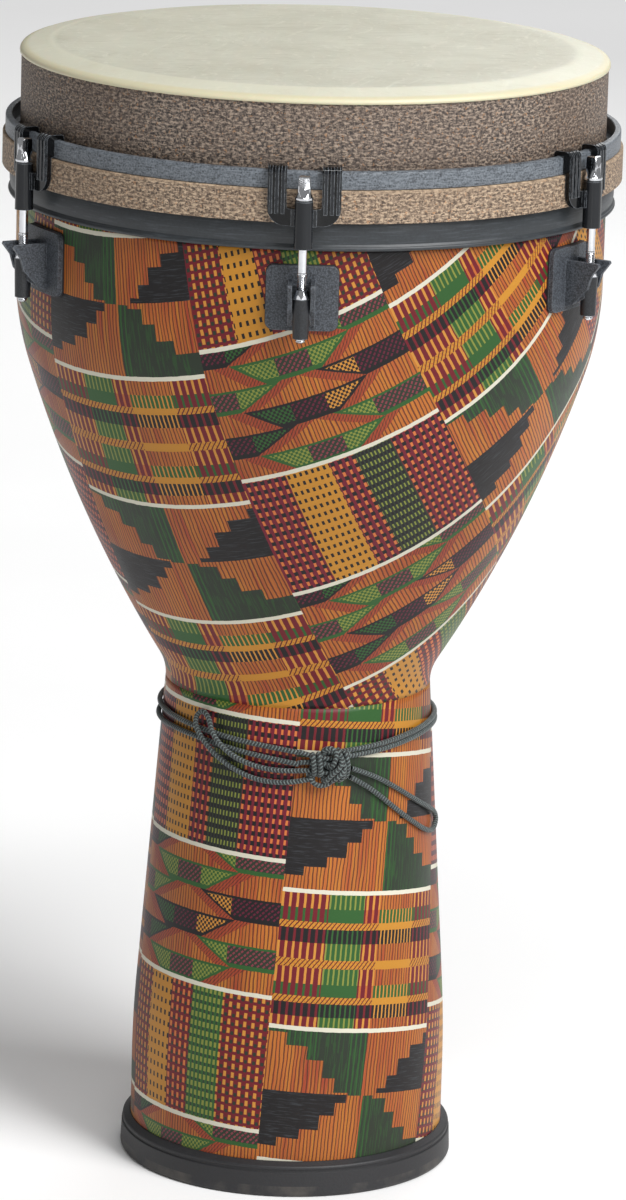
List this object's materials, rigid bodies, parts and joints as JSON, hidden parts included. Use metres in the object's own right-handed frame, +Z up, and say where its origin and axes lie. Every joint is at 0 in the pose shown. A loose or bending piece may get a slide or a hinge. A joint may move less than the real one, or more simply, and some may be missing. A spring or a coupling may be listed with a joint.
{
  "type": "djembe",
  "caption": "Goblet hand drum with a cloth-covered shell, a synthetic head pulled down by a counterhoop and keyed tension rods, a rubber foot rim and a cord tied round the waist.",
  "frame": {"origin": "middle of the base rim's underside, where the drum stands on the floor", "axes": "+Z up along the drum's axis towards the head; -Y to the front, where the first lug is"},
  "size_m": [0.3224, 0.3508, 0.5994],
  "materials": {
    "fibre_laminate": "fibre laminate, matte and slightly rough inside",
    "printed_fabric": "strip-woven pattern printed in orange, gold, crimson, green, navy black and cream, sealed with a satin coat",
    "black_rubber": "black rubber, satin",
    "black_plastic": "black moulded plastic, satin gloss",
    "head_film": "cream synthetic skin with faint fibres",
    "collar_weave": "brown, grey and tan fibrous speckle",
    "hoop_coating": "grey-black powder coat with a fine texture",
    "gloss_black": "gloss black enamel",
    "pebbled_black": "pebbled dark grey casting, edges rubbed lighter",
    "chrome": "bright chrome plate",
    "zinc_steel": "zinc-plated steel",
    "black_cord": "round braided cord, black with grey-green flecks"
  },
  "bodies": {
    "shell": {"bowl_shell": "fibre_laminate", "foot_shell": "fibre_laminate", "bowl_wrap": "printed_fabric", "foot_wrap": "printed_fabric", "base_rim": "black_rubber", "shoulder_ring": "black_plastic", "drumhead_film": "head_film", "lug_1": "pebbled_black", "lug_2": "pebbled_black", "lug_3": "pebbled_black", "lug_4": "pebbled_black", "lug_5": "pebbled_black", "lug_6": "pebbled_black", "lug_gasket_1": "black_rubber", "lug_gasket_2": "black_rubber", "lug_gasket_3": "black_rubber", "lug_gasket_4": "black_rubber", "lug_gasket_5": "black_rubber", "lug_gasket_6": "black_rubber", "lug_nuts": "chrome", "lug_screws": "zinc_steel", "screw_washers": "zinc_steel", "cord_upper_turn": "black_cord", "cord_lower_turn": "black_cord", "cord_left_bight": "black_cord", "cord_right_bight": "black_cord", "cord_knot": "black_cord"},
    "tuning": {"head_collar": "collar_weave", "counterhoop": "hoop_coating", "bracket_1": "gloss_black", "bracket_2": "gloss_black", "bracket_3": "gloss_black", "bracket_4": "gloss_black", "bracket_5": "gloss_black", "bracket_6": "gloss_black", "rod_washers": "gloss_black"},
    "rod_1": {"tension_rod_1": "chrome"},
    "rod_2": {"tension_rod_2": "chrome"},
    "rod_3": {"tension_rod_3": "chrome"},
    "rod_4": {"tension_rod_4": "chrome"},
    "rod_5": {"tension_rod_5": "chrome"},
    "rod_6": {"tension_rod_6": "chrome"}
  },
  "joints": [
    {"name": "head_tuning", "type": "slide", "parent": "shell", "child": "tuning", "axis": [0, 0, 1], "range_m": [-0.002, 0.002], "deforming": ["drumhead_film"]},
    {"name": "rod_1_turn", "type": "hinge", "parent": "tuning", "child": "rod_1", "pos_m": [0, -0.1664, 0.52], "axis": [0, 0, 1], "range_deg": [-900, 900]},
    {"name": "rod_2_turn", "type": "hinge", "parent": "tuning", "child": "rod_2", "pos_m": [0.14411, -0.0832, 0.52], "axis": [0, 0, 1], "range_deg": [-900, 900]},
    {"name": "rod_3_turn", "type": "hinge", "parent": "tuning", "child": "rod_3", "pos_m": [0.14411, 0.0832, 0.52], "axis": [0, 0, 1], "range_deg": [-900, 900]},
    {"name": "rod_4_turn", "type": "hinge", "parent": "tuning", "child": "rod_4", "pos_m": [0, 0.1664, 0.52], "axis": [0, 0, 1], "range_deg": [-900, 900]},
    {"name": "rod_5_turn", "type": "hinge", "parent": "tuning", "child": "rod_5", "pos_m": [-0.14411, 0.0832, 0.52], "axis": [0, 0, 1], "range_deg": [-900, 900]},
    {"name": "rod_6_turn", "type": "hinge", "parent": "tuning", "child": "rod_6", "pos_m": [-0.14411, -0.0832, 0.52], "axis": [0, 0, 1], "range_deg": [-900, 900]}
  ],
  "couplings": [
    {"joint": "rod_1_turn", "follows": "head_tuning", "rad_per_m": 7854},
    {"joint": "rod_2_turn", "follows": "head_tuning", "rad_per_m": 7854},
    {"joint": "rod_3_turn", "follows": "head_tuning", "rad_per_m": 7854},
    {"joint": "rod_4_turn", "follows": "head_tuning", "rad_per_m": 7854},
    {"joint": "rod_5_turn", "follows": "head_tuning", "rad_per_m": 7854},
    {"joint": "rod_6_turn", "follows": "head_tuning", "rad_per_m": 7854}
  ]
}
